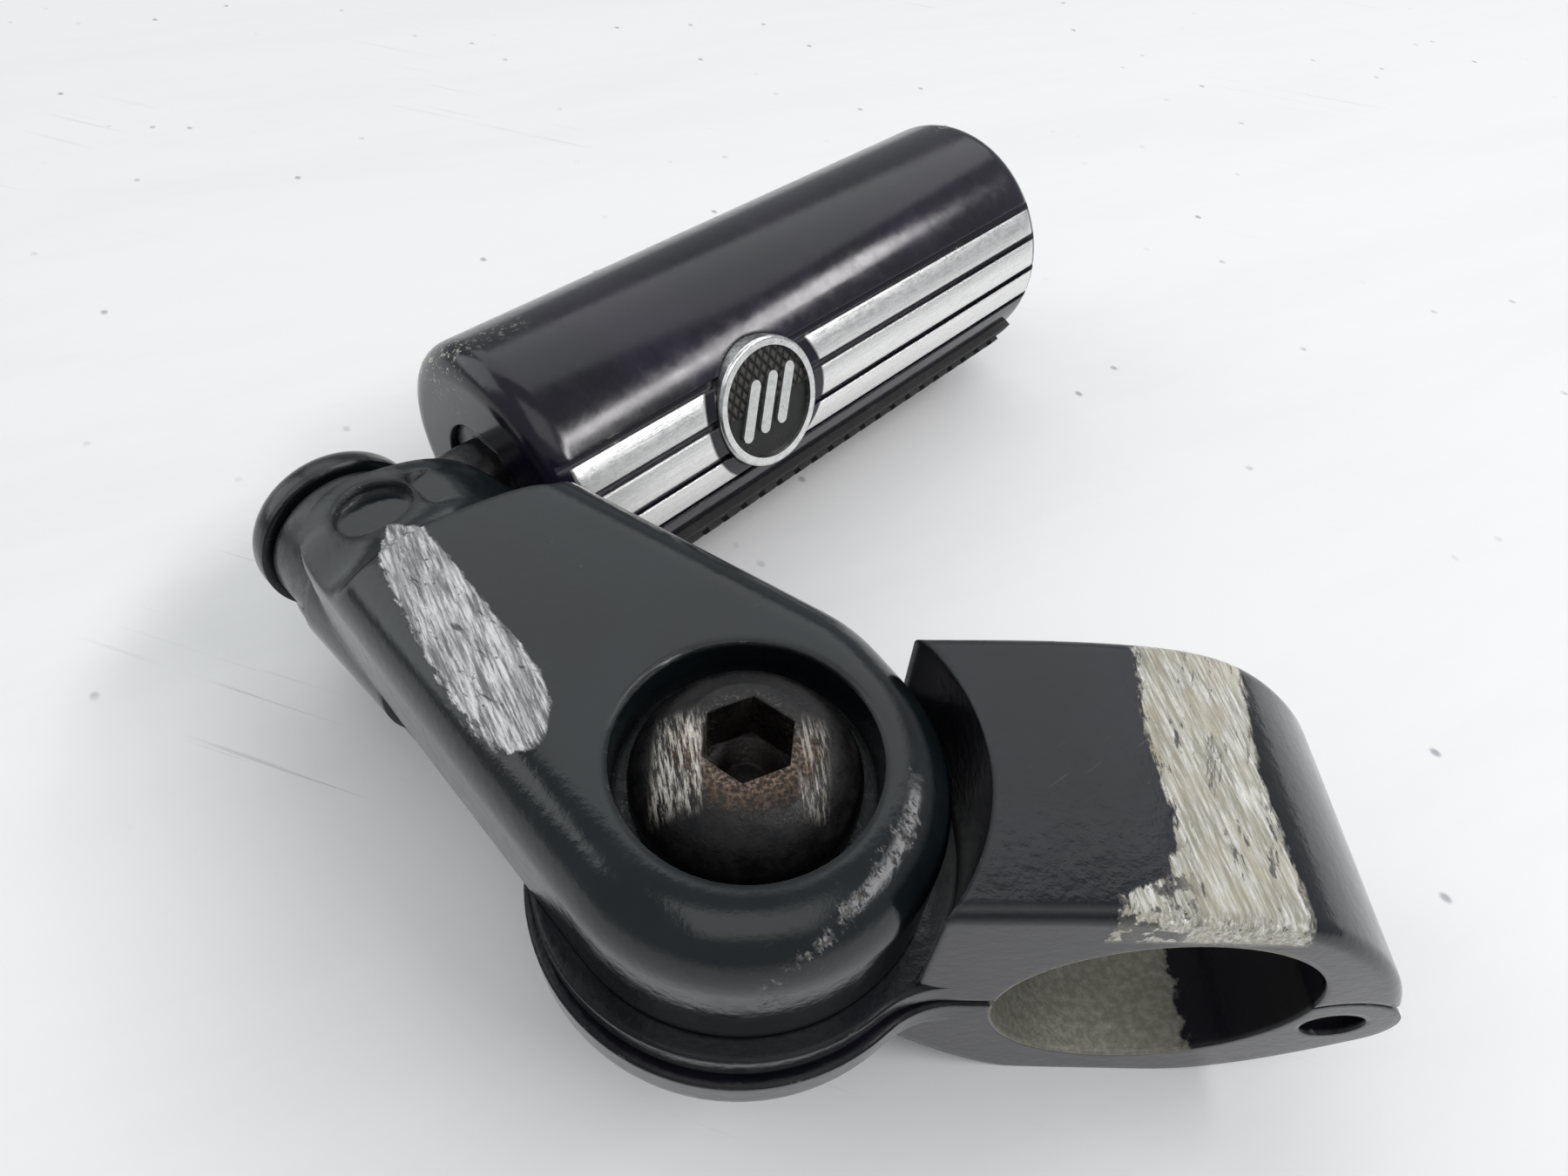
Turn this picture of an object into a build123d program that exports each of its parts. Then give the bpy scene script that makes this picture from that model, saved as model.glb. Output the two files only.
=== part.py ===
from build123d import *
import math
import os

os.makedirs("parts", exist_ok=True)

# ---------------------------------------------------------------------------
# Folding highway footpeg with a hinged tube clamp.  Millimetres, +Z up.
# Origin: centre of the tube bore.  The bore runs along Y, the large socket
# screw stands along Z at x = XB, the folded peg lies along PEG direction.
# ---------------------------------------------------------------------------

# clamp
BORE_R = 15.875          # 1 1/4 in engine guard tube
CLAMP_W = 29.5           # clamp width along the tube
HALF_GAP = 0.75          # half of the split between the two clamp halves
CLAMP_TOP = 21.0
CLAMP_BOT = -21.0
HINGE_X = 20.2
HINGE_Z = -4.3
KNUCKLE_R = 6.4
KNUCKLE_HALF = 4.9       # half width of the middle knuckle
KNUCKLE_GAP = 0.35
HINGE_PIN_R = 3.15
HINGE_PIN_LEN = 25.0

# big socket screw and the two clamp discs under the arm
XB = -41.0
SCREW_R = 6.35           # 1/2 in shank
SCREW_HOLE_R = 6.75
HEAD_R = 11.1
HEAD_H = 7.9
HEX_AF = 7.94
HEX_DEPTH = 6.2
CBORE_R = 12.6
CBORE_Z = 15.2
DISC_TOP = 4.0
UPPER_DISC_R = 21.8
LOWER_DISC_R = 22.8
LOWER_DISC_BOT = -7.3
POCKET_R = 22.3

# arm
ARM_BOT = 4.3
ARM_TOP = 21.0
ARM_R = 19.6
ARM_EDGE = 6.2

# clevis and pivot
PEG_ANGLE = 46.0         # folded peg direction, degrees from +X
PIVOT_V = -6.0
PIVOT_Z = 1.0
PIVOT_R = 4.0
EAR_R = 11.2
BOSS_U0 = 41.0
SLOT_U0 = 58.3
SLOT_U1 = 68.3
EAR_U1 = 73.0
FOLD_R = 18.4            # arm end is rounded to this radius about the pivot so the peg can fold up
EYE_R = 10.2
NECK_H = 7.2             # half height of the neck between eye and peg
SLOT_BOT = -9.5          # the slot is closed below by a web that stops the peg level
TONGUE_T = 9.2
PEG_U = 63.3

# peg
PEG_R = 20.0
PEG_V0 = 13.0
PEG_V1 = 118.0
PEG_EDGE = 4.0
ROD_R = 6.0
ROD_END = 108.0
GROOVES = (51.0, 66.0, 82.0, 97.0)
PAD_R = 22.0
PAD_FLOOR_R = 17.6
PAD_HALF_ANGLE = 66.0
PAD_V0 = 19.0
PAD_V1 = 113.0
MED_V = 48.5
MED_PHI = 69.0
MED_R = 9.4

ca = math.cos(math.radians(PEG_ANGLE))
sa = math.sin(math.radians(PEG_ANGLE))
P = Vector(ca, sa, 0)        # along the folded peg
A = Vector(-sa, ca, 0)       # along the arm, away from the screw
Z = Vector(0, 0, 1)
SCREW_AXIS = Vector(XB, 0, 0)


def spot(v, u, z):
    return SCREW_AXIS + P * v + A * u + Z * z


def plan(z):
    # horizontal plane at height z, local x along the peg, local y along the arm
    return Plane(origin=spot(0, 0, z), x_dir=P, z_dir=Z)


def across(u):
    # plane across the pivot axis, local x = along the arm plane normal pair (z, v)
    return Plane(origin=spot(PIVOT_V, u, PIVOT_Z), x_dir=Z, z_dir=A)


def along(v):
    # plane across the peg axis, local x along the arm, local y up
    return Plane(origin=spot(v, PEG_U, PIVOT_Z), x_dir=A, z_dir=P)


# ---------------------------------------------------------------------------
# clamp, upper half: block, disc under the arm, middle hinge knuckle
# ---------------------------------------------------------------------------
with BuildPart() as clamp_upper:
    with BuildSketch(Plane.XZ):
        with BuildLine():
            Polyline((-32, HALF_GAP), (-32, 20.3), (-27, 20.4))
            Spline((-27, 20.4), (-15, 21.0), (-3, 21.0), (8, 18.9), (16.3, 13.2), (22.8, 5.3), (26.0, -1.2))
            Polyline((26.0, -1.2), (24.0, -3.0), (13.5, -3.0), (13.5, HALF_GAP), (-32, HALF_GAP))
        make_face()
    extrude(amount=CLAMP_W / 2, both=True)
    # disc with a smooth neck into the block
    with BuildSketch(Plane.XY.offset(HALF_GAP)) as upper_plate:
        with Locations((XB, 0)):
            Circle(UPPER_DISC_R)
        with Locations(((XB - 2) / 2, 0)):
            Rectangle(-XB - 2, CLAMP_W)
        fillet([v for v in upper_plate.vertices() if -32 < v.X < -16], 11.0)
    extrude(amount=DISC_TOP - HALF_GAP)
    # round pocket for the arm disc
    with BuildSketch(Plane(origin=(XB, 0, DISC_TOP), z_dir=(0, 0, 1))):
        Circle(POCKET_R)
    extrude(amount=30, mode=Mode.SUBTRACT)
    # tube bore
    with BuildSketch(Plane.XZ):
        Circle(BORE_R)
    extrude(amount=30, both=True, mode=Mode.SUBTRACT)
    # relief over the outer knuckles of the lower half
    with BuildSketch(Plane.XZ):
        with Locations((HINGE_X, HINGE_Z)):
            Circle(KNUCKLE_R + 0.45)
    extrude(amount=30, both=True, mode=Mode.SUBTRACT)
    with BuildSketch(Plane.XZ):
        with Locations((12.5, -2.0)):
            Rectangle(14, 2.0 * (2.0 + HALF_GAP))
    extrude(amount=30, both=True, mode=Mode.SUBTRACT)
    # middle knuckle with a short root up into the block
    with BuildSketch(Plane.XZ):
        with Locations((HINGE_X, HINGE_Z)):
            Circle(KNUCKLE_R)
        with BuildLine():
            Polyline((16.2, 0.8), (17.2, 8.0), (23.6, 3.2), (25.8, -1.2), (20.2, -4.3), (16.2, 0.8))
        make_face()
    extrude(amount=KNUCKLE_HALF, both=True)
    with BuildSketch(Plane.XZ):
        Circle(BORE_R)
    extrude(amount=30, both=True, mode=Mode.SUBTRACT)
    with BuildSketch(Plane.XZ):
        with Locations((HINGE_X, HINGE_Z)):
            Circle(HINGE_PIN_R)
    extrude(amount=30, both=True, mode=Mode.SUBTRACT)
    with BuildSketch(Plane(origin=(XB, 0, 0), z_dir=(0, 0, 1))):
        Circle(SCREW_HOLE_R)
    extrude(amount=10, mode=Mode.SUBTRACT)
    # outer edges of the block, front and back, rounded
    upper_rim = [
        e for e in clamp_upper.edges()
        if abs(abs(e.center().Y) - CLAMP_W / 2) < 0.01 and e.center().Z > 11.5
        and e.bounding_box().max.Z > 17.0 and e.length > 20
        and e.bounding_box().min.Z < 16.0 and e.bounding_box().max.Z > 20.0
    ]
    fillet(upper_rim, 1.4)
clamp_upper.part.label = "clamp_upper_half"
export_step(clamp_upper.part, "parts/clamp_upper_half.step")

# ---------------------------------------------------------------------------
# clamp, lower half: bore saddle, disc with the screw hole, two outer knuckles
# ---------------------------------------------------------------------------
k40x = HINGE_X + KNUCKLE_R * math.cos(math.radians(-40))
k40z = HINGE_Z + KNUCKLE_R * math.sin(math.radians(-40))
with BuildPart() as clamp_lower:
    with BuildSketch(Plane(origin=(0, 0, -HALF_GAP), x_dir=(1, 0, 0), z_dir=(0, 0, -1))) as lower_plate:
        with Locations((XB, 0)):
            Circle(LOWER_DISC_R)
        with Locations(((XB - 2) / 2, 0)):
            Rectangle(-XB - 2, CLAMP_W)
        fillet([v for v in lower_plate.vertices() if -32 < v.X < -16], 11.0)
    extrude(amount=-HALF_GAP - LOWER_DISC_BOT)
    fillet([e for e in clamp_lower.faces().sort_by(Axis.Z)[0].edges() if e.center().X < -4], 2.6)
    with BuildSketch(Plane.XZ):
        with BuildLine():
            Polyline((HINGE_X, HINGE_Z), (13.5, -HALF_GAP), (-30, -HALF_GAP), (-30, LOWER_DISC_BOT))
            Spline((-30, LOWER_DISC_BOT), (-24, -10.4), (-18.5, -15.6), (-12.5, -19.8), (-7, CLAMP_BOT), tangents=((1, 0), (1, 0)))
            Line((-7, CLAMP_BOT), (5, CLAMP_BOT))
            Spline((5, CLAMP_BOT), (15.5, -17.6), (k40x, k40z), tangents=((1, 0), (0.6428, 0.766)))
            Line((k40x, k40z), (HINGE_X, HINGE_Z))
        make_face()
    extrude(amount=CLAMP_W / 2, both=True)
    with BuildSketch(Plane.XZ):
        with Locations((HINGE_X, HINGE_Z)):
            Circle(KNUCKLE_R)
    extrude(amount=CLAMP_W / 2, both=True)
    with BuildSketch(Plane.XZ):
        Circle(BORE_R)
    extrude(amount=30, both=True, mode=Mode.SUBTRACT)
    with BuildSketch(Plane.XZ):
        with Locations((HINGE_X, HINGE_Z)):
            Circle(KNUCKLE_R + 0.45)
    extrude(amount=KNUCKLE_HALF + KNUCKLE_GAP, both=True, mode=Mode.SUBTRACT)
    with BuildSketch(Plane.XZ):
        with Locations((HINGE_X, HINGE_Z)):
            Circle(HINGE_PIN_R + 0.08)
    extrude(amount=30, both=True, mode=Mode.SUBTRACT)
    with BuildSketch(Plane(origin=(XB, 0, 0), z_dir=(0, 0, -1))):
        Circle(SCREW_HOLE_R)
    extrude(amount=12, mode=Mode.SUBTRACT)
clamp_lower.part.label = "clamp_lower_half"
export_step(clamp_lower.part, "parts/clamp_lower_half.step")

with BuildPart() as clamp_hinge_pin:
    with BuildSketch(Plane.XZ):
        with Locations((HINGE_X, HINGE_Z)):
            Circle(HINGE_PIN_R)
    extrude(amount=HINGE_PIN_LEN / 2, both=True)
    chamfer(clamp_hinge_pin.edges().filter_by(GeomType.CIRCLE), 0.5)
clamp_hinge_pin.part.label = "clamp_hinge_pin"
export_step(clamp_hinge_pin.part, "parts/clamp_hinge_pin.step")

# ---------------------------------------------------------------------------
# large button head socket screw
# ---------------------------------------------------------------------------
HEAD_Z = CBORE_Z + 0.3
dome_r = (HEAD_R ** 2 - 6.3 ** 2 + (HEAD_H - 1.0) ** 2) / (2 * (HEAD_H - 1.0))
with BuildPart() as clamp_screw:
    with BuildSketch(Plane.XZ):
        with BuildLine():
            Polyline((0, -6.9), (SCREW_R - 0.8, -6.9), (SCREW_R, -6.1), (SCREW_R, HEAD_Z), (HEAD_R - 0.4, HEAD_Z),
                     (HEAD_R, HEAD_Z + 0.4), (HEAD_R, HEAD_Z + 1.2))
            Spline((HEAD_R, HEAD_Z + 1.2), (10.1, HEAD_Z + 4.1), (8.0, HEAD_Z + 6.6), (5.9, HEAD_Z + HEAD_H), tangents=((0, 1), (-0.85, 0.53)))
            Polyline((5.9, HEAD_Z + HEAD_H), (0, HEAD_Z + HEAD_H), (0, -6.9))
        make_face()
    revolve(axis=Axis.Z)
    with BuildSketch(Plane.XY.offset(HEAD_Z + HEAD_H)):
        RegularPolygon(radius=HEX_AF / 2, side_count=6, major_radius=False, rotation=25)
    extrude(amount=-HEX_DEPTH, mode=Mode.SUBTRACT)
    with BuildSketch(Plane.XY.offset(HEAD_Z + HEAD_H - HEX_DEPTH)):
        Circle(HEX_AF / 2 - 0.05)
    extrude(amount=-1.6, taper=50, mode=Mode.SUBTRACT)
clamp_screw.part.position = (XB, 0, 0)
clamp_screw.part.label = "clamp_screw"
export_step(clamp_screw.part, "parts/clamp_screw.step")

# ---------------------------------------------------------------------------
# teardrop arm with the clevis for the peg
# ---------------------------------------------------------------------------
with BuildPart() as clevis_arm:
    with BuildSketch(plan(ARM_BOT)):
        Circle(ARM_R)
        with Locations((1.4, 4.0)):
            Circle(19.0)
        with Locations((-7.4, 50.2)):
            Circle(9.0)
        with Locations((3.2, 48.4)):
            Circle(8.0)
        make_hull()
    extrude(amount=ARM_TOP - ARM_BOT)
    fillet(clevis_arm.faces().sort_by(Axis.Z)[-1].edges(), ARM_EDGE)
    # end of the arm necked down about the pivot axis, clear of the folding peg
    with BuildSketch(Plane(origin=spot(PIVOT_V, 0, PIVOT_Z), x_dir=A, z_dir=P)):
        with BuildLine():
            Spline((40.0, 24.5), (42.4, 21.8), (44.0, 19.7), (46.0, FOLD_R + 0.25), (49.5, FOLD_R + 0.05), (54.0, FOLD_R))
            Polyline((54.0, FOLD_R), (64.0, FOLD_R), (64.0, 45.0), (40.0, 45.0), (40.0, 24.5))
        make_face()
    revolve(axis=Axis(spot(PIVOT_V, 0, PIVOT_Z), A), mode=Mode.SUBTRACT)
    # boss, lower web and rear ear in one bar across the end of the arm
    with BuildSketch(across(BOSS_U0)):
        Circle(EAR_R)
        with Locations((-9.0, 0)):
            RectangleRounded(10.0, 18.0, 3.4)
    extrude(amount=EAR_U1 - BOSS_U0)
    fillet(clevis_arm.faces().sort_by(Axis(SCREW_AXIS, A))[-1].edges(), 3.0)
    # slot for the tongue, open above and to both sides
    with BuildSketch(plan(SLOT_BOT)):
        with Locations((0, (SLOT_U0 + SLOT_U1) / 2)):
            Rectangle(60, SLOT_U1 - SLOT_U0)
    extrude(amount=40, mode=Mode.SUBTRACT)
    # shallow dish and pocket on the end of the arm top
    with BuildSketch(plan(17.9)):
        with Locations((-7.2, 51.6)):
            Ellipse(4.6, 3.6)
        with Locations((1.4, 51.0)):
            RectangleRounded(7.4, 6.4, 1.4)
    extrude(amount=8, mode=Mode.SUBTRACT)
    # pin hole and a pocket for the retaining ring
    with BuildSketch(across(BOSS_U0 - 10)):
        Circle(PIVOT_R)
    extrude(amount=60, mode=Mode.SUBTRACT)
    with BuildSketch(across(BOSS_U0)):
        Circle(7.0)
    extrude(amount=-8.0, mode=Mode.SUBTRACT)
    # counterbore and hole for the big screw
    with BuildSketch(plan(CBORE_Z)):
        Circle(CBORE_R)
    extrude(amount=10, mode=Mode.SUBTRACT)
    with BuildSketch(plan(0)):
        Circle(SCREW_R + 0.35)
    extrude(amount=20, mode=Mode.SUBTRACT)
clevis_arm.part.label = "clevis_arm"
export_step(clevis_arm.part, "parts/clevis_arm.step")

with BuildPart() as pivot_pin:
    with BuildSketch(across(BOSS_U0 - 2.6)):
        Circle(PIVOT_R)
    extrude(amount=EAR_U1 - BOSS_U0 + 2.6)
    with BuildSketch(across(EAR_U1)):
        Circle(6.4)
    extrude(amount=2.4)
    with BuildSketch(across(BOSS_U0 - 1.5)):
        Circle(PIVOT_R + 1)
        Circle(3.2, mode=Mode.SUBTRACT)
    extrude(amount=1.1, mode=Mode.SUBTRACT)
    chamfer(pivot_pin.edges().filter_by(GeomType.CIRCLE).sort_by(Axis((XB, 0, 0), (-sa, ca, 0)))[-1], 0.8)
pivot_pin.part.label = "pivot_pin"
export_step(pivot_pin.part, "parts/pivot_pin.step")

with BuildPart() as pivot_ring:
    with BuildSketch(across(BOSS_U0 - 1.45)):
        Circle(6.4)
        Circle(3.25, mode=Mode.SUBTRACT)
        with Locations((-5, 0)):
            Rectangle(8, 4.6, mode=Mode.SUBTRACT)
    extrude(amount=1.0)
pivot_ring.part.label = "pivot_retaining_ring"
export_step(pivot_ring.part, "parts/pivot_retaining_ring.step")

# ---------------------------------------------------------------------------
# peg core: eye, tongue and rod
# ---------------------------------------------------------------------------
with BuildPart() as peg_core:
    with BuildSketch(across(PEG_U - TONGUE_T / 2)):
        Circle(EYE_R)
    extrude(amount=TONGUE_T)
    chamfer(peg_core.edges(), 0.5)
    with BuildSketch(along(PIVOT_V + 2.0)):
        RectangleRounded(TONGUE_T, 2 * NECK_H, 3.4)
    extrude(amount=22.0)
    with BuildSketch(along(PEG_V0 + 1.0)):
        Circle(9.4)
    extrude(amount=5.0)
    with BuildSketch(along(PEG_V0 + 6.0)):
        Circle(ROD_R)
    extrude(amount=ROD_END - PEG_V0 - 6.0)
    with BuildSketch(across(BOSS_U0)):
        Circle(PIVOT_R + 0.08)
    extrude(amount=50, mode=Mode.SUBTRACT)
    with BuildSketch(along(ROD_END)):
        Circle(3.4)
    extrude(amount=-20.0, mode=Mode.SUBTRACT)
peg_core.part.label = "peg_core"
export_step(peg_core.part, "parts/peg_core.step")

# ---------------------------------------------------------------------------
# peg body: round bar with flutes on both sides, pad channel below
# ---------------------------------------------------------------------------
def side_angle(phi, side):
    # angle in the cross plane, measured from local x (away from the screw)
    return 90 + phi if side > 0 else 90 - phi


med_n = A * (-math.sin(math.radians(MED_PHI))) + Z * math.cos(math.radians(MED_PHI))
peg_mid = spot(MED_V, PEG_U, PIVOT_Z)


def medal(n, d):
    # plane square to the medallion direction n, d from the peg axis, local x along the peg
    return Plane(origin=peg_mid + n * d, x_dir=P, z_dir=n)


with BuildPart() as peg_body:
    with BuildSketch(along(PEG_V0)):
        Circle(PEG_R)
    extrude(amount=PEG_V1 - PEG_V0)
    fillet(peg_body.edges().filter_by(GeomType.CIRCLE), PEG_EDGE)
    # flutes
    with BuildSketch(along(PEG_V0 - 1)):
        for phi in GROOVES:
            for side in (1, -1):
                with PolarLocations(PEG_R, 1, start_angle=side_angle(phi, side)):
                    Rectangle(1.9, 1.1)
    extrude(amount=PEG_V1 - PEG_V0 + 2, mode=Mode.SUBTRACT)
    # channel for the rubber pad
    with BuildSketch(along(PAD_V0 - 0.1)):
        with BuildLine():
            CenterArc((0, 0), PAD_FLOOR_R - 0.1, -90 - PAD_HALF_ANGLE - 0.3, 2 * PAD_HALF_ANGLE + 0.6)
            CenterArc((0, 0), PEG_R + 3, -90 - PAD_HALF_ANGLE - 0.3, 2 * PAD_HALF_ANGLE + 0.6)
            for s in (-1, 1):
                t = math.radians(-90 + s * (PAD_HALF_ANGLE + 0.3))
                Line((math.cos(t) * (PAD_FLOOR_R - 0.1), math.sin(t) * (PAD_FLOOR_R - 0.1)),
                     (math.cos(t) * (PEG_R + 3), math.sin(t) * (PEG_R + 3)))
        make_face()
    extrude(amount=PAD_V1 - PAD_V0 + 0.2, mode=Mode.SUBTRACT)
    # medallion seat
    with BuildSketch(medal(med_n, 16.7)):
        Circle(MED_R + 0.1)
    extrude(amount=6, mode=Mode.SUBTRACT)
    # mouth for the core, bore and recess for the end screw
    with BuildSketch(along(PEG_V0)):
        Circle(9.5)
    extrude(amount=6.1, mode=Mode.SUBTRACT)
    with BuildSketch(along(PEG_V0)):
        Circle(ROD_R + 0.05)
    extrude(amount=200, mode=Mode.SUBTRACT)
    with BuildSketch(along(PEG_V1 - 7.0)):
        Circle(10.0)
    extrude(amount=10, mode=Mode.SUBTRACT)
peg_body.part.label = "peg_body"
export_step(peg_body.part, "parts/peg_body.step")

with BuildPart() as rubber_pad:
    with BuildSketch(along(PAD_V0)):
        with BuildLine():
            CenterArc((0, 0), PAD_FLOOR_R, -90 - PAD_HALF_ANGLE, 2 * PAD_HALF_ANGLE)
            CenterArc((0, 0), PAD_R - 0.7, -90 - PAD_HALF_ANGLE, 2 * PAD_HALF_ANGLE)
            for s in (-1, 1):
                t = math.radians(-90 + s * PAD_HALF_ANGLE)
                Line((math.cos(t) * PAD_FLOOR_R, math.sin(t) * PAD_FLOOR_R),
                     (math.cos(t) * (PAD_R - 0.7), math.sin(t) * (PAD_R - 0.7)))
        make_face()
    extrude(amount=PAD_V1 - PAD_V0)
    # raised ribs along the pad, standing proud of its face
    with BuildSketch(along(PAD_V0 + 2.5)):
        for k in range(-5, 6):
            with PolarLocations(PAD_R - 0.6, 1, start_angle=-90 + 11.5 * k):
                Rectangle(1.2, 2.2)
    extrude(amount=PAD_V1 - PAD_V0 - 5.0)
    # cross cuts that break the ribs into rows of nubs
    with BuildSketch(Plane(origin=spot((PAD_V0 + PAD_V1) / 2, PEG_U, PIVOT_Z), x_dir=P, z_dir=A)):
        with GridLocations(4.0, 1.0, 22, 1):
            Rectangle(1.4, 2 * PAD_R + 8)
    nub_cutter = extrude(amount=60, both=True, mode=Mode.PRIVATE)
    with BuildSketch(along(PAD_V0 - 1)):
        Circle(PAD_R + 6)
        Circle(PAD_R - 0.7, mode=Mode.SUBTRACT)
    nub_ring = extrude(amount=PAD_V1 - PAD_V0 + 2, mode=Mode.PRIVATE)
    add(nub_cutter & nub_ring, mode=Mode.SUBTRACT)
rubber_pad.part.label = "rubber_pad"
export_step(rubber_pad.part, "parts/rubber_pad.step")

# ---------------------------------------------------------------------------
# medallion: bezel, dark insert and plain raised bars
# ---------------------------------------------------------------------------
with BuildPart() as bezel:
    with BuildSketch(medal(med_n, 16.8)):
        Circle(MED_R)
    extrude(amount=3.6)
    fillet(bezel.edges().filter_by(GeomType.CIRCLE).group_by(Axis(peg_mid, med_n))[-1], 0.5)
    with BuildSketch(medal(med_n, 19.0)):
        Circle(MED_R - 1.3)
    extrude(amount=4, mode=Mode.SUBTRACT)
bezel.part.label = "medallion_bezel"
export_step(bezel.part, "parts/medallion_bezel.step")

with BuildPart() as insert:
    with BuildSketch(medal(med_n, 19.0)):
        Circle(MED_R - 1.35)
    extrude(amount=0.7)
insert.part.label = "medallion_insert"
export_step(insert.part, "parts/medallion_insert.step")

with BuildPart() as emblem:
    with BuildSketch(medal(med_n, 19.7)):
        with Locations((-3.4, 0), (0, 0), (3.4, 0)):
            SlotOverall(9.0, 1.8, rotation=62)
    extrude(amount=0.5)
emblem.part.label = "medallion_bars"
export_step(emblem.part, "parts/medallion_bars.step")

# ---------------------------------------------------------------------------
# end screw and washer that hold the body on the core
# ---------------------------------------------------------------------------
with BuildPart() as end_washer:
    with BuildSketch(along(PEG_V1 - 7.0)):
        Circle(9.4)
        Circle(3.3, mode=Mode.SUBTRACT)
    extrude(amount=1.5)
end_washer.part.label = "peg_end_washer"
export_step(end_washer.part, "parts/peg_end_washer.step")

with BuildPart() as end_screw:
    with BuildSketch(along(PEG_V1 - 5.5)):
        Circle(6.0)
    extrude(amount=4.0)
    fillet(end_screw.edges().filter_by(GeomType.CIRCLE).group_by(Axis(spot(0, PEG_U, PIVOT_Z), P))[-1], 1.6)
    with BuildSketch(along(PEG_V1 - 1.5)):
        RegularPolygon(radius=2.5, side_count=6, major_radius=False)
    extrude(amount=-2.6, mode=Mode.SUBTRACT)
    with BuildSketch(along(PEG_V1 - 5.5)):
        Circle(3.2)
    extrude(amount=-22.0)
end_screw.part.label = "peg_end_screw"
export_step(end_screw.part, "parts/peg_end_screw.step")
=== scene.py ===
import math

import bmesh
import bpy
from mathutils import Matrix, Vector


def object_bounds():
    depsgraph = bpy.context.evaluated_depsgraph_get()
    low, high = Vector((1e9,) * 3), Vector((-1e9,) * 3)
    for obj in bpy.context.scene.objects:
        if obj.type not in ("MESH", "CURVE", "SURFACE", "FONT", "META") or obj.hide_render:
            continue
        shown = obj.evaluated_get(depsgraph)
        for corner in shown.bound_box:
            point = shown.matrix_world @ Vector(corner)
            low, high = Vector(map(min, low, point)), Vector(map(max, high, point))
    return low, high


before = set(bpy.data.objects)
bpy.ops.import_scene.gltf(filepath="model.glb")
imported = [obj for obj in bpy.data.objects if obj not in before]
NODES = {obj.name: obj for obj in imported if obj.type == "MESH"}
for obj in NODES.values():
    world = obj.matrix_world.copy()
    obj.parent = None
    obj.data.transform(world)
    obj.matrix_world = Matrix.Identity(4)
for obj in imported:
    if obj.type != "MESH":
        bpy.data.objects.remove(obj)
CAD_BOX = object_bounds()

# ---------------------------------------------------------------------------
# frame numbers, metres: the same layout as the CAD
# ---------------------------------------------------------------------------
XB = -0.041
ANG = math.radians(46.0)
P = Vector((math.cos(ANG), math.sin(ANG), 0.0))
A = Vector((-math.sin(ANG), math.cos(ANG), 0.0))
UP = Vector((0.0, 0.0, 1.0))
PIV = Vector((XB, 0, 0)) + P * -0.006 + A * 0.0633 + UP * 0.001
FLOOR_Z = CAD_BOX[0][2]


def spot(v, u, z):
    return Vector((XB, 0, 0)) + P * (v / 1000) + A * (u / 1000) + UP * (z / 1000)


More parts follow.
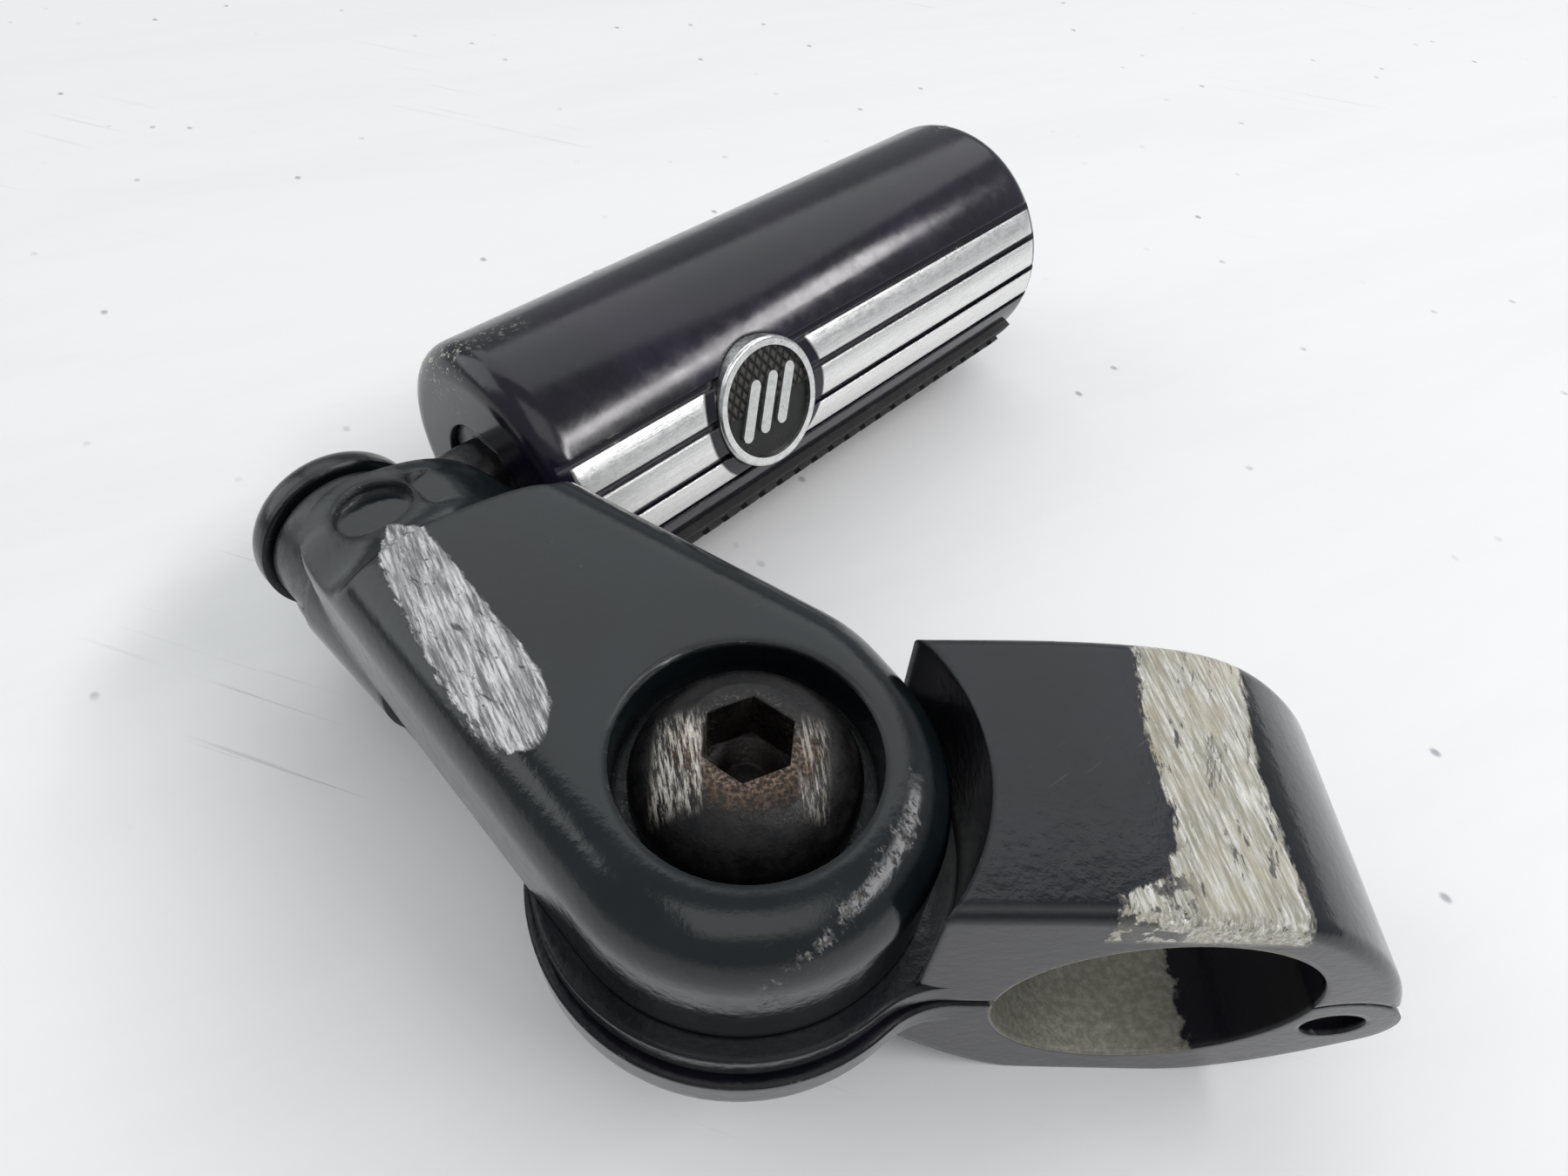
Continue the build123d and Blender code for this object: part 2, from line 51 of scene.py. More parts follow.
# ---------------------------------------------------------------------------
# node helpers
# ---------------------------------------------------------------------------
class Mat:
    def __init__(self, name):
        self.m = bpy.data.materials.new(name)
        self.m.use_nodes = True
        self.nt = self.m.node_tree
        self.nt.nodes.clear()
        self.out = self.nt.nodes.new("ShaderNodeOutputMaterial")
        self.b = self.nt.nodes.new("ShaderNodeBsdfPrincipled")
        self.nt.links.new(self.b.outputs[0], self.out.inputs[0])
        self.obj = self.n("ShaderNodeTexCoord").outputs["Object"]

    def n(self, kind):
        return self.nt.nodes.new(kind)

    def link(self, a, b):
        self.nt.links.new(a, b)

    def put(self, sock, value):
        if hasattr(value, "is_output"):
            self.link(value, sock)
        else:
            sock.default_value = value

    def set(self, **kw):
        for k, v in kw.items():
            self.put(self.b.inputs[k.replace("_", " ")], v)

    def math(self, op, a, b=0.0, c=0.0, clamp=False):
        n = self.n("ShaderNodeMath")
        n.operation = op
        n.use_clamp = clamp
        self.put(n.inputs[0], a)
        self.put(n.inputs[1], b)
        if op in ("MULTIPLY_ADD", "SMOOTH_MIN", "SMOOTH_MAX", "WRAP", "COMPARE"):
            self.put(n.inputs[2], c)
        return n.outputs[0]

    def add(self, a, b):
        return self.math("ADD", a, b)

    def sub(self, a, b):
        return self.math("SUBTRACT", a, b)

    def mul(self, a, b):
        return self.math("MULTIPLY", a, b)

    def mx(self, a, b):
        return self.math("MAXIMUM", a, b)

    def mn(self, a, b):
        return self.math("MINIMUM", a, b)

    def ramp(self, v, lo, hi, out0=0.0, out1=1.0, smooth=True):
        n = self.n("ShaderNodeMapRange")
        n.interpolation_type = "SMOOTHSTEP" if smooth else "LINEAR"
        n.clamp = True
        self.put(n.inputs["Value"], v)
        n.inputs["From Min"].default_value = lo
        n.inputs["From Max"].default_value = hi
        n.inputs["To Min"].default_value = out0
        n.inputs["To Max"].default_value = out1
        return n.outputs[0]

    def mix(self, f, a, b):
        n = self.n("ShaderNodeMix")
        n.data_type = "RGBA"
        self.put(n.inputs[0], f)
        self.put(n.inputs[6], a)
        self.put(n.inputs[7], b)
        return n.outputs[2]

    def local(self, origin, x, y, z, scale=(1, 1, 1)):
        """Coordinates in a local frame, millimetres, times scale."""
        sub = self.n("ShaderNodeVectorMath")
        sub.operation = "SUBTRACT"
        self.link(self.obj, sub.inputs[0])
        sub.inputs[1].default_value = tuple(origin)
        comb = self.n("ShaderNodeCombineXYZ")
        for i, (ax, s) in enumerate(zip((x, y, z), scale)):
            d = self.n("ShaderNodeVectorMath")
            d.operation = "DOT_PRODUCT"
            self.link(sub.outputs[0], d.inputs[0])
            d.inputs[1].default_value = tuple(Vector(ax) * 1000.0 * s)
            self.link(d.outputs["Value"], comb.inputs[i])
        return comb.outputs[0]

    def xyz(self, vec):
        s = self.n("ShaderNodeSeparateXYZ")
        self.link(vec, s.inputs[0])
        return s.outputs[0], s.outputs[1], s.outputs[2]

    def noise(self, vec, scale, detail=4.0, rough=0.55, dist=0.0):
        n = self.n("ShaderNodeTexNoise")
        self.link(vec, n.inputs["Vector"])
        n.inputs["Scale"].default_value = scale
        n.inputs["Detail"].default_value = detail
        n.inputs["Roughness"].default_value = rough
        n.inputs["Distortion"].default_value = dist
        return n.outputs[0]

    def voronoi(self, vec, scale, feature="F1", out="Distance", rand=1.0, dim="3D"):
        n = self.n("ShaderNodeTexVoronoi")
        n.voronoi_dimensions = dim
        n.feature = feature
        self.link(vec, n.inputs["Vector"])
        n.inputs["Scale"].default_value = scale
        n.inputs["Randomness"].default_value = rand
        return n.outputs[out]

    def edge(self, radius=0.0008, samples=4):
        """0..1, high on outside edges."""
        bev = self.n("ShaderNodeBevel")
        bev.samples = samples
        bev.inputs["Radius"].default_value = radius
        geo = self.n("ShaderNodeNewGeometry")
        dot = self.n("ShaderNodeVectorMath")
        dot.operation = "DOT_PRODUCT"
        self.link(bev.outputs[0], dot.inputs[0])
        self.link(geo.outputs["Normal"], dot.inputs[1])
        return self.math("SUBTRACT", 1.0, dot.outputs["Value"])

    def bump(self, height, strength=0.3, distance=0.0004, normal=None):
        n = self.n("ShaderNodeBump")
        n.inputs["Strength"].default_value = strength
        n.inputs["Distance"].default_value = distance
        self.link(height, n.inputs["Height"])
        if normal is not None:
            self.link(normal, n.inputs["Normal"])
        return n.outputs[0]


def mm(m, scale=1.0):
    return m.local((0, 0, 0), (1, 0, 0), (0, 1, 0), (0, 0, 1), (scale, scale, scale))


def paint(name, tint_a=(0.0035, 0.0045, 0.006, 1), tint_b=(0.009, 0.008, 0.014, 1), rough=0.12, scuffs=(), bare=None, soften=0.0009, seed=0.0):
    """Gloss black paint: slight colour drift, fine dust, hairline scratches, worn edges, plus scraped patches."""
    m = Mat(name)
    o = m.local((seed, seed * 0.7, -seed), (1, 0, 0), (0, 1, 0), (0, 0, 1))
    drift = m.noise(o, 0.05, 3.0)
    col = m.mix(m.ramp(drift, 0.35, 0.7), tint_a, tint_b)
    dust = m.ramp(m.voronoi(o, 0.45), 0.0, 0.12, 1.0, 0.0)
    dust = m.mul(dust, m.ramp(m.noise(o, 0.3, 2.0), 0.56, 0.7))
    hair_v = m.local((seed, 0, 0), (0.8, 0.6, 0), (-0.6, 0.8, 0), (0, 0, 1), (0.12, 2.2, 2.2))
    hair = m.ramp(m.noise(hair_v, 1.0, 6.0, 0.7), 0.60, 0.70)
    hair = m.mul(hair, m.ramp(m.noise(o, 0.08, 2.0), 0.5, 0.68))
    col = m.mix(m.mul(dust, 0.35), col, (0.16, 0.16, 0.155, 1))
    col = m.mix(m.mul(hair, 0.30), col, (0.11, 0.11, 0.11, 1))
    r = m.ramp(m.noise(o, 0.5, 5.0), 0.3, 0.75, rough * 0.75, rough * 1.5)
    r = m.add(r, m.mul(hair, 0.25))
    r = m.add(r, m.mul(dust, 0.3))
    # worn edges
    e = m.edge(0.0006)
    wear = m.mul(m.mul(m.ramp(e, 0.05, 0.22), m.ramp(m.noise(o, 0.9, 6.0, 0.7), 0.60, 0.70)), 0.55)
    metal = m.mul(wear, 0.6)
    height = m.mul(m.noise(o, 0.9, 4.0), 0.15)
    mask_all = wear
    metal_col = (0.56, 0.55, 0.53, 1)
    for sc in scuffs:
        mask, mcol, mh, mr = sc(m)
        col = m.mix(mask, col, mcol)
        r = m.add(m.mul(r, m.sub(1.0, mask)), m.mul(mr, mask))
        metal = m.mx(metal, m.mul(mask, 0.55))
        height = m.add(m.mul(height, m.sub(1.0, mask)), m.mul(m.sub(mh, 1.0), mask))
    if bare is not None:
        mask, mcol, mh, mr = bare(m)
        col = m.mix(mask, col, mcol)
        r = m.add(m.mul(r, m.sub(1.0, mask)), m.mul(mr, mask))
        metal = m.mx(metal, m.mul(mask, 0.9))
        height = m.add(m.mul(height, m.sub(1.0, mask)), m.mul(mh, mask))
    col = m.mix(m.mul(wear, 0.7), col, metal_col)
    m.set(Base_Color=col, Roughness=r, Metallic=metal)
    m.b.inputs["Specular IOR Level"].default_value = 0.5
    m.b.inputs["IOR"].default_value = 1.5
    soft = m.n("ShaderNodeBevel")
    soft.samples = 4
    soft.inputs["Radius"].default_value = soften
    m.link(m.bump(height, 0.55, 0.0005, soft.outputs[0]), m.b.inputs["Normal"])
    return m.m



# ---------------------------------------------------------------------------
# masks, all from object coordinates in millimetres
# ---------------------------------------------------------------------------
def pw(m, v, pts):
    """Piecewise-linear curve of v through the points."""
    out = pts[0][1]
    for (x0, y0), (x1, y1) in zip(pts, pts[1:]):
        if abs(y1 - y0) < 1e-6:
            continue
        out = m.add(m.ramp(v, x0, x1, 0.0, y1 - y0, False), out)
    return out


def soft_in(m, d, w):
    """1 where d is above 0, fading over w."""
    return m.ramp(d, -w, w)


def streaks(m, vec):
    """Scraped metal: long fine grooves, bright and dark."""
    fine = m.noise(vec, 1.0, 8.0, 0.72, 0.2)
    return fine


def clamp_scuff(m):
    x, y, z = m.xyz(mm(m))
    ragged = m.noise(m.local((0, 0, 0), (1, 0, 0), (0, 1, 0), (0, 0, 1), (1.2, 0.35, 1.0)), 1.0, 6.0, 0.7)
    j = m.mul(m.sub(ragged, 0.5), 5.0)
    xl = pw(m, y, [(-14.8, -9.8), (-12.6, -9.0), (-10.6, -4.6), (-6.0, -3.0), (2.0, -3.4), (15.0, -2.2)])
    xr = pw(m, y, [(-14.8, 7.6), (-7.0, 7.4), (0.0, 7.2), (15.0, 10.0)])
    left = soft_in(m, m.add(m.sub(x, xl), j), 0.35)
    right = soft_in(m, m.add(m.sub(xr, x), m.mul(j, 0.6)), 0.35)
    mask = m.mul(m.mul(left, right), soft_in(m, m.sub(z, 16.6), 0.5))
    # islands of paint left in the scrape
    isl = m.ramp(m.noise(m.local((0.004, 0.002, 0), (1, 0, 0), (0, 1, 0), (0, 0, 1), (0.55, 0.16, 0.5)), 1.0, 5.0, 0.65), 0.60, 0.66, 1.0, 0.12)
    frontleft = m.mul(m.ramp(x, -4.5, -1.5, 1.0, 0.0), m.ramp(y, -9.0, -6.0, 1.0, 0.0))
    gap = m.mul(frontleft, m.ramp(m.noise(mm(m, 0.5), 1.0, 4.0, 0.6), 0.47, 0.54))
    mask = m.mul(m.mul(mask, isl), m.sub(1.0, m.mul(gap, 0.9)))
    st = streaks(m, m.local((0, 0, 0), (0.985, 0.17, 0), (-0.17, 0.985, 0), (0, 0, 1), (2.6, 0.22, 1.5)))
    st2 = m.noise(m.local((0.01, 0, 0), (0.93, -0.36, 0), (0.36, 0.93, 0), (0, 0, 1), (1.1, 0.12, 1.0)), 1.0, 5.0, 0.7)
    tone = m.ramp(st, 0.40, 0.64)
    col = m.mix(tone, (0.38, 0.36, 0.29, 1), (0.97, 0.96, 0.91, 1))
    broad = m.noise(m.local((0, 0, 0.004), (0.985, 0.17, 0), (-0.17, 0.985, 0), (0, 0, 1), (0.9, 0.11, 0.6)), 1.0, 4.0, 0.6)
    col = m.mix(m.ramp(broad, 0.48, 0.62, 0.0, 0.5), col, (0.46, 0.42, 0.31, 1))
    gold = m.ramp(m.noise(mm(m, 0.22), 1.0, 3.0, 0.5), 0.42, 0.62)
    col = m.mix(m.mul(gold, 0.35), col, (0.62, 0.56, 0.42, 1))
    col = m.mix(m.ramp(st2, 0.60, 0.67, 0.0, 0.75), col, (0.07, 0.062, 0.05, 1))
    h = m.add(m.mul(st, 2.2), m.mul(st2, 1.4))
    rough = m.ramp(st, 0.3, 0.7, 0.46, 0.26)
    return mask, col, h, rough


def arm_scuff(m):
    loc = m.local((XB, 0, 0), P, A, UP)
    v, u, z = m.xyz(loc)
    ragged = m.noise(m.local((XB, 0, 0), P, A, UP, (1.3, 0.4, 1.0)), 1.0, 6.0, 0.7)
    j = m.mul(m.sub(ragged, 0.5), 2.6)
    vl = pw(m, u, [(13.0, -13.0), (15.0, -15.4), (19.0, -16.0), (27.2, -15.0), (39.5, -12.3), (44.5, -10.6), (48.2, -7.6)])
    vr = pw(m, u, [(13.0, -12.6), (16.4, -9.6), (20.0, -8.0), (29.0, -7.0), (38.0, -6.0), (45.0, -5.4), (48.2, -7.4)])
    mask = m.mul(soft_in(m, m.add(m.sub(v, vl), j), 0.22), soft_in(m, m.add(m.sub(vr, v), m.mul(j, 0.7)), 0.22))
    mask = m.mul(mask, soft_in(m, m.sub(z, 12.0), 0.6))
    mask = m.mul(mask, m.mul(m.ramp(m.add(u, j), 13.4, 14.6), m.ramp(m.add(u, m.mul(j, 0.4)), 47.8, 48.6, 1.0, 0.0)))
    st = streaks(m, m.local((XB, 0, 0), P * 0.958 - A * 0.285, A * 0.958 + P * 0.285, UP, (2.4, 0.20, 1.2)))
    st2 = m.noise(m.local((XB, 0, 0), P * 0.995 + A * 0.1, A * 0.995 - P * 0.1, UP, (1.5, 0.25, 1.0)), 1.0, 5.0, 0.7)
    col = m.mix(m.ramp(st, 0.40, 0.62), (0.20, 0.20, 0.205, 1), (0.90, 0.90, 0.905, 1))
    broad = m.noise(m.local((XB, 0, 0.003), P * 0.958 - A * 0.285, A * 0.958 + P * 0.285, UP, (0.7, 0.10, 0.5)), 1.0, 4.0, 0.6)
    col = m.mix(m.ramp(broad, 0.46, 0.66, 0.0, 0.5), col, (0.36, 0.36, 0.365, 1))
    col = m.mix(m.ramp(st2, 0.58, 0.66, 0.0, 0.8), col, (0.05, 0.05, 0.055, 1))
    holes = m.ramp(m.noise(mm(m, 0.9), 1.0, 5.0, 0.6), 0.66, 0.70, 1.0, 0.2)
    lowfade = m.ramp(u, 13.0, 21.0, 0.55, 1.0)
    mask = m.mul(m.mul(mask, holes), m.mx(lowfade, m.ramp(st, 0.45, 0.5)))
    h = m.add(m.mul(st, 2.0), m.mul(st2, 1.2))
    return mask, col, h, m.ramp(st, 0.3, 0.7, 0.48, 0.28)


def disc_streak(m):
    loc = m.local((XB, 0, 0), (1, 0, 0), (0, 1, 0), (0, 0, 1))
    x, y, z = m.xyz(loc)
    r = m.math("SQRT", m.add(m.mul(x, x), m.mul(y, y)))
    th = m.mul(m.math("ARCTAN2", y, x), 57.29578)
    r0 = pw(m, th, [(-84, 19.3), (-72, 18.4), (-58, 16.6), (-43, 15.4), (-22, 15.7), (2, 14.6)])
    w = pw(m, th, [(-88, 0.0), (-78, 0.15), (-66, 0.45), (-56, 0.6), (-48, 0.1), (-38, 0.7), (-26, 1.1), (-14, 0.1), (4, 0.0)])
    n = m.noise(m.local((XB, 0, 0), (0.7, 0.7, 0), (-0.7, 0.7, 0), (0, 0, 1), (1.6, 0.6, 0.8)), 1.0, 6.0, 0.75)
    j = m.mul(m.sub(n, 0.56), 5.0)
    d = m.add(m.sub(w, m.math("ABSOLUTE", m.sub(r, r0))), j)
    mask = soft_in(m, m.mn(d, m.mul(m.sub(w, 0.05), 6.0)), 0.25)
    mask = m.mul(mask, m.mul(m.ramp(th, -88, -82), m.ramp(th, 0, 6, 1.0, 0.0)))
    mask = m.mul(m.mul(mask, soft_in(m, m.sub(z, 12.0), 0.5)), m.ramp(n, 0.50, 0.60, 0.0, 0.85))
    st = m.noise(mm(m, 1.8), 1.0, 6.0, 0.7)
    col = m.mix(m.ramp(st, 0.4, 0.62), (0.08, 0.078, 0.074, 1), (0.34, 0.325, 0.30, 1))
    return mask, col, m.mul(st, 1.8), 0.45


def dirt_line(m):
    """Grime packed round the big counterbore."""
    loc = m.local((XB, 0, 0), (1, 0, 0), (0, 1, 0), (0, 0, 1))
    x, y, z = m.xyz(loc)
    r = m.math("SQRT", m.add(m.mul(x, x), m.mul(y, y)))
    n = m.noise(mm(m, 0.8), 1.0, 5.0, 0.7)
    mask = m.mul(m.ramp(r, 12.9, 13.6, 1.0, 0.0), m.ramp(z, 15.6, 17.2, 1.0, 0.0))
    mask = m.mul(mask, m.ramp(n, 0.35, 0.6, 0.3, 1.0))
    return m.mul(mask, 0.3), (0.030, 0.029, 0.028, 1), m.mul(n, 0.6), 0.6


def bare_bore(m):
    x, y, z = m.xyz(mm(m))
    r = m.math("SQRT", m.add(m.mul(x, x), m.mul(z, z)))
    inside = m.ramp(r, 15.98, 16.15, 1.0, 0.0)
    n = m.noise(mm(m, 0.45), 1.0, 6.0, 0.7)
    edge = m.add(x, m.mul(m.sub(n, 0.5), 4.0))
    mask = m.mul(inside, m.ramp(edge, 8.0, 8.8, 1.0, 0.0))
    fine = m.noise(mm(m, 1.3), 1.0, 5.0, 0.6)
    col = m.mix(m.ramp(fine, 0.35, 0.70), (0.25, 0.245, 0.205, 1), (0.36, 0.355, 0.305, 1))
    col = m.mix(m.ramp(n, 0.56, 0.72, 0.0, 0.5), col, (0.50, 0.49, 0.43, 1))
    return mask, col, m.mul(fine, 0.35), 0.62


def machined(name, base, dark, rough=0.3, lo=0.0, stain=(0.16, 0.13, 0.10, 1), stain_amount=0.25, axis=(UP, P, A), sc=(2.2, 0.18, 2.2)):
    m = Mat(name)
    o = mm(m)
    g = m.noise(m.local((0, 0, 0), *axis, sc), 1.0, 7.0, 0.7)
    big = m.noise(mm(m, 0.12), 1.0, 4.0)
    col = m.mix(m.ramp(g, 0.35, 0.66), dark, base)
    col = m.mix(m.ramp(big, 0.56, 0.74, 0.0, stain_amount), col, stain)
    # painted highlight: every edge lightened evenly to a brighter copy of the base colour
    e = m.edge(0.0005)
    col = m.mix(m.ramp(e, 0.03, 0.2, 0.0, 0.5), col, tuple(min(1.0, c * 1.25) for c in base[:3]) + (1,))
    m.set(Base_Color=col, Roughness=m.ramp(m.noise(o, 0.8, 5.0), 0.3, 0.7, rough * 0.8, rough * 1.35))
    m.b.inputs["Metallic"].default_value = 1.0
    m.link(m.bump(g, 0.25, 0.0002), m.b.inputs["Normal"])
    return m.m


# ---------------------------------------------------------------------------
# materials per node
# ---------------------------------------------------------------------------
def screw_mat():
    m = Mat("screw_black_oxide")
    loc = m.local((XB, 0, 0), (1, 0, 0), (0, 1, 0), (0, 0, 1))
    x, y, z = m.xyz(loc)
    r = m.math("SQRT", m.add(m.mul(x, x), m.mul(y, y)))
    th = m.mul(m.math("ARCTAN2", y, m.mul(x, -1.0)), 57.29578)   # 0 at -x, negative towards the viewer
    n = m.noise(loc, 0.55, 6.0, 0.7)
    fine = m.noise(loc, 2.4, 6.0, 0.7)
    col = m.mix(m.ramp(n, 0.35, 0.7), (0.006, 0.006, 0.007, 1), (0.018, 0.016, 0.015, 1))
    # rust in a crescent below the hexagon
    low = m.ramp(m.mul(y, -1.0), -2.2, 1.2)
    ring = m.mul(m.ramp(r, 3.6, 4.2), m.ramp(m.add(r, m.mul(m.sub(n, 0.5), 4.0)), 5.6, 7.4, 1.0, 0.0))
    rust = m.mul(m.mul(low, ring), m.ramp(fine, 0.36, 0.54, 0.2, 0.95))
    col = m.mix(m.mul(rust, 0.9), col, m.mix(m.ramp(fine, 0.4, 0.62), (0.040, 0.022, 0.013, 1), (0.17, 0.115, 0.075, 1)))
    # silver scratches either side, running towards the viewer
    st = m.noise(m.local((XB, 0, 0), (0.98, 0.2, 0), (-0.2, 0.98, 0), (0, 0, 1), (3.6, 0.35, 0.8)), 1.0, 7.0, 0.75)
    side = m.mx(m.mul(m.ramp(x, -8.8, -7.6), m.ramp(x, -4.6, -3.4, 1.0, 0.0)), m.mul(m.mul(m.ramp(x, 4.2, 5.0), m.ramp(x, 6.4, 7.6, 1.0, 0.0)), 0.55))
    band = m.mul(m.ramp(y, -7.2, -5.2), m.ramp(y, 0.6, 3.4, 1.0, 0.0))
    scr = m.mul(m.mul(m.mul(side, band), m.ramp(st, 0.46, 0.58)), 0.9)
    head = m.ramp(z, 16.2, 17.2)
    scr = m.mul(scr, head)
    rust = m.mul(rust, head)
    col = m.mix(scr, col, (0.74, 0.70, 0.62, 1))
    rim = m.mul(m.mul(m.ramp(r, 4.0, 4.3), m.ramp(r, 4.8, 5.4, 1.0, 0.0)), m.mul(m.ramp(fine, 0.50, 0.62), m.mul(head, m.ramp(y, 0.0, 3.0, 1.0, 0.35))))
    col = m.mix(m.mul(rim, 0.45), col, (0.34, 0.30, 0.25, 1))
    deep = m.mul(m.ramp(r, 4.6, 4.9, 1.0, 0.0), m.ramp(z, 21.6, 23.0, 1.0, 0.0))
    col = m.mix(m.mul(m.mul(deep, m.ramp(fine, 0.46, 0.64)), 0.4), col, (0.045, 0.022, 0.012, 1))
    m.set(Base_Color=col, Metallic=m.mx(m.mul(scr, 0.95), 0.35),
          Roughness=m.add(m.ramp(n, 0.3, 0.7, 0.24, 0.34), m.sub(m.mul(rust, 0.35), m.mul(scr, 0.05))))
    soft = m.n("ShaderNodeBevel")
    soft.samples = 4
    soft.inputs["Radius"].default_value = 0.0004
    m.link(m.bump(m.add(m.mul(fine, m.add(0.35, m.mul(rust, 2.0))), m.mul(st, m.mul(scr, 1.2))), 0.45, 0.0004, soft.outputs[0]), m.b.inputs["Normal"])
    return m.m


MED_V, MED_PHI, MED_R = 48.5, math.radians(69.0), 9.4
MED_N = A * -math.sin(MED_PHI) + UP * math.cos(MED_PHI)
MED_Y = MED_N.cross(P)
PEG_O = spot(0, 63.3, 1.0)
MED_O = spot(MED_V, 63.3, 1.0)


def peg_mat():
    m = Mat("peg_gloss_black_with_bright_flutes")
    v, a, z = m.xyz(m.local(PEG_O, P, A, UP))
    r = m.math("SQRT", m.add(m.mul(a, a), m.mul(z, z)))
    phi = m.mul(m.math("ARCTAN2", m.math("ABSOLUTE", a), z), 57.29578)
    o = mm(m)
    drift = m.noise(o, 0.04, 3.0)
    col = m.mix(m.ramp(drift, 0.35, 0.7), (0.0045, 0.0045, 0.008, 1), (0.011, 0.008, 0.019, 1))
    grime = m.noise(o, 0.35, 6.0, 0.7)
    specks = m.mul(m.ramp(m.voronoi(o, 0.55), 0.0, 0.10, 1.0, 0.0), m.ramp(m.noise(o, 0.2, 2.0), 0.5, 0.66))
    col = m.mix(m.mul(specks, 0.35), col, (0.15, 0.145, 0.13, 1))
    rough = m.ramp(grime, 0.3, 0.75, 0.13, 0.22)
    # bright flutes
    band = m.mul(m.ramp(phi, 51.2, 51.9), m.ramp(phi, 96.0, 96.8, 1.0, 0.0))
    top = m.ramp(r, 19.80, 19.93)
    mx_, my_, mz_ = m.xyz(m.local(MED_O, P, MED_Y, MED_N))
    md = m.math("SQRT", m.add(m.mul(mx_, mx_), m.mul(my_, my_)))
    near = m.ramp(a, -0.5, 0.5, 1.0, 0.0)
    clear = m.sub(1.0, m.mul(m.ramp(md, 11.2, 11.7, 1.0, 0.0), near))
    ends = m.mul(m.ramp(v, 13.6, 15.2), m.ramp(v, 116.2, 117.4, 1.0, 0.0))
    silver = m.mul(m.mul(band, top), m.mul(clear, ends))
    line = m.noise(m.local(PEG_O, P, A, UP, (0.12, 3.2, 3.2)), 1.0, 7.0, 0.7)
    blot = m.noise(m.local(PEG_O, P, A, UP, (0.5, 1.2, 1.2)), 1.0, 6.0, 0.7)
    sil = m.mix(m.ramp(line, 0.36, 0.64), (0.78, 0.775, 0.76, 1), (0.89, 0.885, 0.87, 1))
    sil = m.mix(m.ramp(blot, 0.60, 0.74, 0.0, 0.28), sil, (0.42, 0.41, 0.39, 1))
    col = m.mix(silver, col, sil)
    # chips in the paint on the top corner at both ends
    w1 = m.mul(m.ramp(v, 13.5, 17.5, 1.0, 0.35), m.ramp(v, 22.0, 27.0, 1.0, 0.0))
    w2 = m.ramp(v, 111.0, 115.0)
    top_edge = m.mul(m.ramp(a, 1.0, 6.0), m.ramp(z, 9.0, 12.0))
    chip = m.mul(m.mul(m.mx(w1, w2), top_edge), m.ramp(m.noise(o, 1.1, 5.0, 0.75), 0.57, 0.60))
    e = m.edge(0.0006)
    wear = m.mx(m.mul(m.ramp(e, 0.05, 0.2), m.ramp(grime, 0.58, 0.70)), 0.0)
    chip = m.mx(chip, m.mul(wear, m.sub(1.0, silver)))
    col = m.mix(m.mul(chip, 0.95), col, (0.60, 0.57, 0.47, 1))
    rough = m.add(m.mul(rough, m.sub(1.0, silver)), m.mul(silver, m.ramp(blot, 0.35, 0.7, 0.24, 0.36)))
    rough = m.add(rough, m.mul(chip, 0.3))
    m.set(Base_Color=col, Roughness=rough, Metallic=m.mul(silver, 0.93))
    m.b.inputs["IOR"].default_value = 1.5
    crown = m.math("ABSOLUTE", m.math("SINE", m.mul(m.sub(phi, 51.0), math.pi / 15.33)))
    h = m.add(m.mul(grime, 0.12), m.add(m.mul(silver, m.add(m.mul(line, 0.3), m.mul(crown, 1.3))), m.mul(chip, -0.8)))
    soft = m.n("ShaderNodeBevel")
    soft.samples = 4
    soft.inputs["Radius"].default_value = 0.0005
    m.link(m.bump(h, 0.35, 0.0004, soft.outputs[0]), m.b.inputs["Normal"])
    return m.m


def insert_mat():
    m = Mat("medallion_black_knurl")
    x, y, z = m.xyz(m.local(MED_O, P, MED_Y, MED_N))
    a = m.math("ABSOLUTE", m.math("SINE", m.mul(m.add(m.mul(x, 1.0), m.mul(y, 0.62)), 2.1)))
    b = m.math("ABSOLUTE", m.math("SINE", m.mul(m.sub(m.mul(x, 1.0), m.mul(y, 0.62)), 2.1)))
    kn = m.mn(a, b)
    up = m.ramp(y, -0.6, 0.4)
    n = m.noise(mm(m, 1.4), 1.0, 5.0, 0.7)
    col = m.mix(m.mul(m.ramp(kn, 0.25, 0.8), up), (0.004, 0.004, 0.004, 1), (0.075, 0.070, 0.064, 1))
    col = m.mix(m.ramp(n, 0.55, 0.7, 0.0, 0.35), col, (0.065, 0.058, 0.048, 1))
    m.set(Base_Color=col, Roughness=m.ramp(n, 0.3, 0.7, 0.32, 0.52))
    m.link(m.bump(m.add(m.mul(m.mul(kn, up), 1.0), m.mul(n, 0.12)), 0.9, 0.0006), m.b.inputs["Normal"])
    return m.m


def bright_mat(name, col_a, col_b, rough):
    m = Mat(name)
    o = mm(m)
    g = m.noise(m.local(MED_O, P, MED_Y, MED_N, (1.2, 1.2, 1.2)), 1.0, 6.0, 0.7)
    col = m.mix(m.ramp(g, 0.35, 0.66), col_b, col_a)
    col = m.mix(m.ramp(m.noise(o, 0.7, 4.0), 0.60, 0.72, 0.0, 0.4), col, (0.30, 0.29, 0.27, 1))
    # painted highlight: every edge mixed evenly towards near white
    e = m.edge(0.0003)
    col = m.mix(m.ramp(e, 0.03, 0.2, 0.0, 0.6), col, (0.95, 0.95, 0.94, 1))
    m.set(Base_Color=col, Roughness=m.ramp(g, 0.3, 0.7, rough * 0.8, rough * 1.4))
    m.b.inputs["Metallic"].default_value = 0.95
    m.link(m.bump(g, 0.2, 0.0002), m.b.inputs["Normal"])
    return m.m


